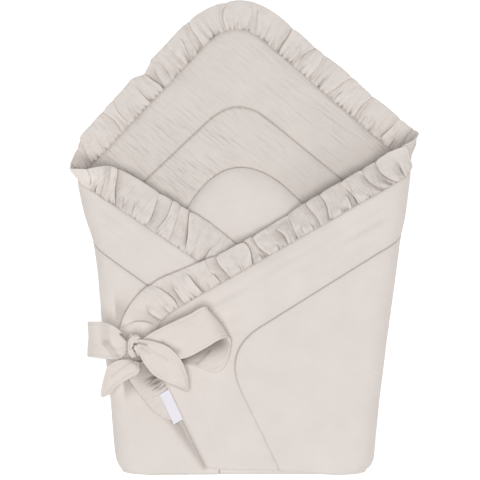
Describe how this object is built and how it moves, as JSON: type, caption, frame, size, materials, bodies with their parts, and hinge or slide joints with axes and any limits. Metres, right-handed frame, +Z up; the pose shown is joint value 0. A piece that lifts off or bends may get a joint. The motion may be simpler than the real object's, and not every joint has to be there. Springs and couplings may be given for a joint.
{
  "type": "folded swaddle wrap",
  "caption": "Padded square baby wrap folded like an envelope, with a gathered frill on its upper edges and a ribbon tied in a bow.",
  "frame": {"origin": "centre of the bounding box at the floor, under the folded layers", "axes": "+Y towards the head corner, +Z up from the floor through the layers to the bow, +X towards the side whose wing lies on top"},
  "size_m": [0.4776, 0.6378, 0.0901],
  "materials": {
    "pad_fabric": "warm greige cotton, smooth outside and crinkled muslin inside",
    "muslin_fabric": "crinkled cotton muslin in the same greige",
    "label_fabric": "smooth white satin tape, left bare"
  },
  "bodies": {
    "root": {"quilted_pad": "pad_fabric", "frill": "muslin_fabric", "bow_knot": "muslin_fabric", "bow_loop_left": "muslin_fabric", "bow_loop_right": "muslin_fabric", "tie_tail_left": "muslin_fabric", "tie_tail_right": "muslin_fabric", "label": "label_fabric"}
  },
  "joints": []
}
